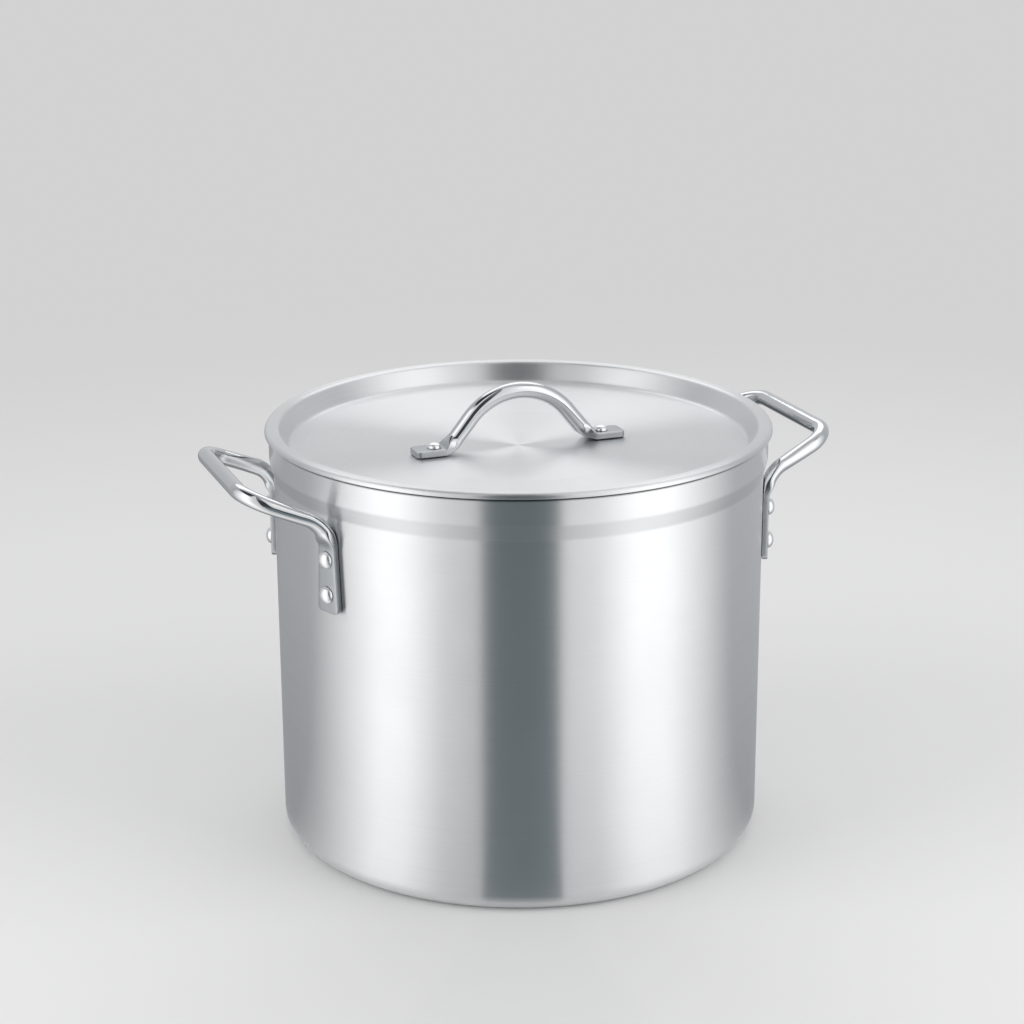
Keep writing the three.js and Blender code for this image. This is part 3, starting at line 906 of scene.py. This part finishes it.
soft_lamp("lamp_left", -64, 2.4, 1.2, (1.8, 2.4), 24, in_metal=False)
soft_lamp("lamp_right", 68, 2.4, 1.2, (2.0, 2.4), 28, in_metal=False)
soft_lamp("lamp_back", 180, 1.7, 2.0, (2.6, 1.6), 11, in_metal=True)


# %% [markdown]
# What the metal shows is a drum of cards round it: a mat on the ground, a wall, and a cover over all.
# Only glossy rays see the cards, so they draw the bands on the metal and leave the floor alone. Each
# table gives tones by the angle round the kettle, in degrees from the camera's side and positive to
# its right. Bright cards left and right of the camera draw the broad bright bands, and the dark strip
# between them the dark stripe. The ones behind the kettle are darker again, and trim its outline.

# %% The tones of the cards
NEAR_MAT_DARK = "#7a8387"
MAT_DARK = "#666f73"
WALL_DARK = "#33383b"


def front_tones(dark):
    return [
        (-108, "#9b9c9e"), (-66, "#ffffff"), (-54, "#fbfbfb"), (-36, "#cccccc"), (-17.4, "#b8b8b9"),
        (-16.4, dark), (18, dark), (19, "#cacacb"), (36, "#d3d3d3"), (54, "#fcfcfc"), (70, "#ffffff"),
        (110, "#a0a1a3"),
    ]


def mat_tones(dark):
    return [
        (-180, "#4c4e50"), (-160, "#5c5e60"), (-142, "#898b8e"), *front_tones(dark), (145, "#989a9e"),
        (166, "#989a9e"), (180, "#4c4e50"),
    ]


WALL_TONES = [
    (-180, "#b6b7b8"), (-140, "#a9aaac"), *front_tones(WALL_DARK), (142, "#a9aaac"), (180, "#b6b7b8"),
]
HIGH_TONES = [
    (-180, "#b4b4b4"), (-130, "#b4b4b4"), (-115, "#2c2e30"), (-50, "#2c2e30"), (-35, "#c8c8c8"),
    (-20, "#c8c8c8"), (-14, "#6a6c6e"), (16, "#6a6c6e"), (22, "#c8c8c8"), (60, "#d0d0d0"),
    (90, "#8c8c8c"), (125, "#b4b4b4"), (180, "#b4b4b4"),
]
print("rows of tones:", [len(table) for table in (mat_tones(MAT_DARK), WALL_TONES, HIGH_TONES)])

# %% The drum of cards
MAT_START = 212
MAT_HEIGHT = 2
DRUM_RADIUS = 2200
DRUM_TOP = 4000
bm = bmesh.new()
draw_section(bm, [
    (MAT_START, MAT_HEIGHT, 0),
    (DRUM_RADIUS, MAT_HEIGHT, 0),
    (DRUM_RADIUS, DRUM_TOP, 0),
    (0, DRUM_TOP, 0),
])
spin_line(bm, steps=96)
cards = finish_mesh(bm, "cards")
cards.visible_camera = cards.visible_diffuse = cards.visible_shadow = False
print("drum of cards:", len(cards.data.polygons), "faces")

# %% [markdown]
# A convex mirror shows a far thing as if it stood at half the radius behind the surface. Counting the
# angle about that point, on the camera's side of the axis, keeps the bands upright all the way down
# the wall. The angle wraps round at the back.

# %% Where a ray meets the cards
MIRROR_FOCUS = 0.1
card_paint, tree, coords = new_material("cards")
from_focus = add_node(
    tree, "VectorMath", {0: coords, 1: around_kettle(0, MIRROR_FOCUS, 0)}, operation="SUBTRACT",
).outputs[0]
parts = add_node(tree, "SeparateXYZ", {"Vector": from_focus}).outputs
backwards = add_node(tree, "Math", {0: parts["Y"], 1: -1}, operation="MULTIPLY").outputs[0]
angle = add_node(tree, "Math", {0: parts["X"], 1: backwards}, operation="ARCTAN2").outputs[0]
from_camera = add_node(tree, "Math", {0: angle, 1: CAMERA_AZIMUTH}, operation="SUBTRACT").outputs[0]
turned = add_node(
    tree, "Math", {0: from_camera, 1: math.pi, 2: -math.pi}, operation="WRAP",
).outputs[0]
level, radius = away_from_axis(tree, coords)
climb = add_node(tree, "Math", {0: parts["Z"], 1: radius}, operation="ARCTAN2").outputs[0]
print("cards are counted about", [round(v, 3) for v in around_kettle(0, MIRROR_FOCUS, 0)])

# %% [markdown]
# The tables take over from each other on the way out and up: the mat close by, the mat further out,
# the wall, and last the high part, where a line from the middle of the kettle's foot climbs by more
# than about 54 degrees. The glow also grows with the distance, because the lowest part of the body
# shows the nearest mat and has to be a little darker.

# %% The paint of the cards
CARD_GLOW = 1.45
NEAR_GLOW = 0.64 * CARD_GLOW
TAKE_OVERS = [
    (radius, 0.3, 0.8, mat_tones(MAT_DARK)),
    (parts["Z"], 0.01, 0.3, WALL_TONES),
    (climb, math.radians(50), math.radians(58), HIGH_TONES),
]
DEGREE = math.radians(1)
tone = tones_by_table(tree, turned, mat_tones(NEAR_MAT_DARK), DEGREE)
for measure, start, end, table in TAKE_OVERS:
    share = add_node(
        tree, "MapRange", {"Value": measure, "From Min": start, "From Max": end},
    ).outputs["Result"]
    next_tone = tones_by_table(tree, turned, table, DEGREE)
    tone = add_node(
        tree, "Mix", {"Factor": share, "A": tone, "B": next_tone}, data_type="RGBA",
    ).outputs["Result"]
glow = add_node(
    tree, "MapRange",
    {"Value": radius, "From Min": 0.22, "From Max": 0.95, "To Min": NEAR_GLOW, "To Max": CARD_GLOW},
).outputs["Result"]
emission = add_node(tree, "Emission", {"Color": tone, "Strength": glow})
add_node(tree, "OutputMaterial", {"Surface": emission.outputs[0]})
cards.data.materials.append(card_paint)
print("glow of the cards from", round(NEAR_GLOW, 2), "to", CARD_GLOW)

# %% [markdown]
# The world has the backdrop's grey at a strength of 1, so it is seen just as it is written.

# %% World and view
world = bpy.data.worlds.new("studio")
bpy.context.scene.world = world
world.use_nodes = True
sky = world.node_tree.nodes["Background"]
sky.inputs["Color"].default_value = linear(BACKDROP)
sky.inputs["Strength"].default_value = 1
bpy.context.scene.view_settings.view_transform = "Standard"
print("backdrop", BACKDROP, "view", bpy.context.scene.view_settings.view_transform)
